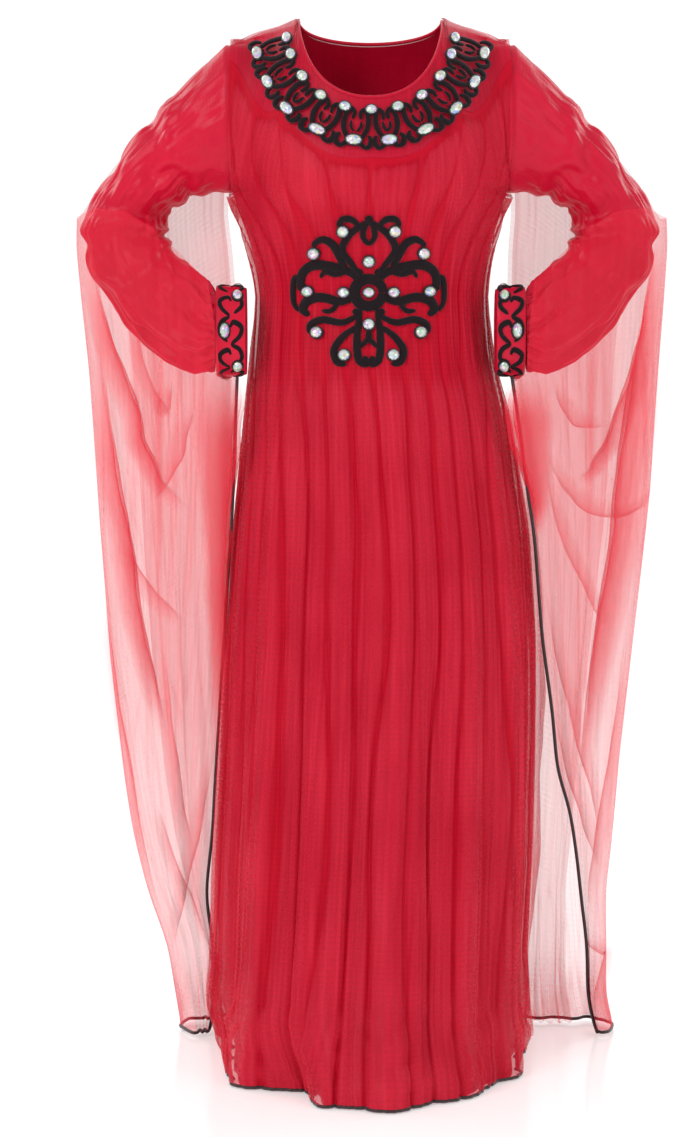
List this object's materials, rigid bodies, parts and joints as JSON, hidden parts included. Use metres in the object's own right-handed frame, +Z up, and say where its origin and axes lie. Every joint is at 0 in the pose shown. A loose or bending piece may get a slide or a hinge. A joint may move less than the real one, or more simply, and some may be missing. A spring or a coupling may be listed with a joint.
{
  "type": "butterfly kaftan",
  "caption": "Floor-length kaftan: satin gown with bishop sleeves under a sheer layer with wings from arm to floor, velvet scrollwork and domed stones.",
  "frame": {"origin": "between the shoulders, on the middle line of the armholes, where the worn garment is held", "axes": "+Z up, +X to the viewer's right (the wearer's left), the front faces -Y"},
  "size_m": [0.8115, 0.6081, 1.392],
  "materials": {
    "satin": "glossy satin weave",
    "sheer_mesh": "fine see-through mesh",
    "black_piping": "satin piping",
    "black_velvet": "velvet",
    "crystal": "domed stone with a pearly coat"
  },
  "bodies": {
    "root": {"gown_front": "satin", "gown_back": "satin", "yoke_front": "satin", "yoke_back": "satin", "neck_binding": "satin", "sleeve_right_arm": "satin", "sleeve_left_arm": "satin", "cuff_right_arm": "satin", "cuff_left_arm": "satin", "overlay_front": "sheer_mesh", "overlay_back": "sheer_mesh", "wing_outer_right_arm": "sheer_mesh", "wing_outer_left_arm": "sheer_mesh", "wing_inner_right_arm": "sheer_mesh", "wing_inner_left_arm": "sheer_mesh", "hem_piping_front": "black_piping", "hem_piping_back": "black_piping", "wing_piping_right_arm": "black_piping", "wing_piping_left_arm": "black_piping", "collar_scrollwork": "black_velvet", "waist_scrollwork": "black_velvet", "cuff_scrollwork_right_arm": "black_velvet", "cuff_scrollwork_left_arm": "black_velvet", "collar_stone_1": "crystal", "collar_stone_2": "crystal", "collar_stone_3": "crystal", "collar_stone_4": "crystal", "collar_stone_5": "crystal", "collar_stone_6": "crystal", "collar_stone_7": "crystal", "collar_stone_8": "crystal", "collar_stone_9": "crystal", "collar_stone_10": "crystal", "collar_stone_11": "crystal", "collar_stone_12": "crystal", "collar_stone_13": "crystal", "collar_stone_14": "crystal", "collar_stone_15": "crystal", "collar_stone_16": "crystal", "collar_stone_17": "crystal", "collar_stone_18": "crystal", "collar_stone_19": "crystal", "collar_stone_20": "crystal", "collar_stone_21": "crystal", "waist_stone_1": "crystal", "waist_stone_2": "crystal", "waist_stone_3": "crystal", "waist_stone_4": "crystal", "waist_stone_5": "crystal", "waist_stone_6": "crystal", "waist_stone_7": "crystal", "waist_stone_8": "crystal", "waist_stone_9": "crystal", "waist_stone_10": "crystal", "waist_stone_11": "crystal", "waist_stone_12": "crystal", "waist_stone_13": "crystal", "waist_stone_14": "crystal", "waist_stone_15": "crystal"}
  },
  "joints": []
}
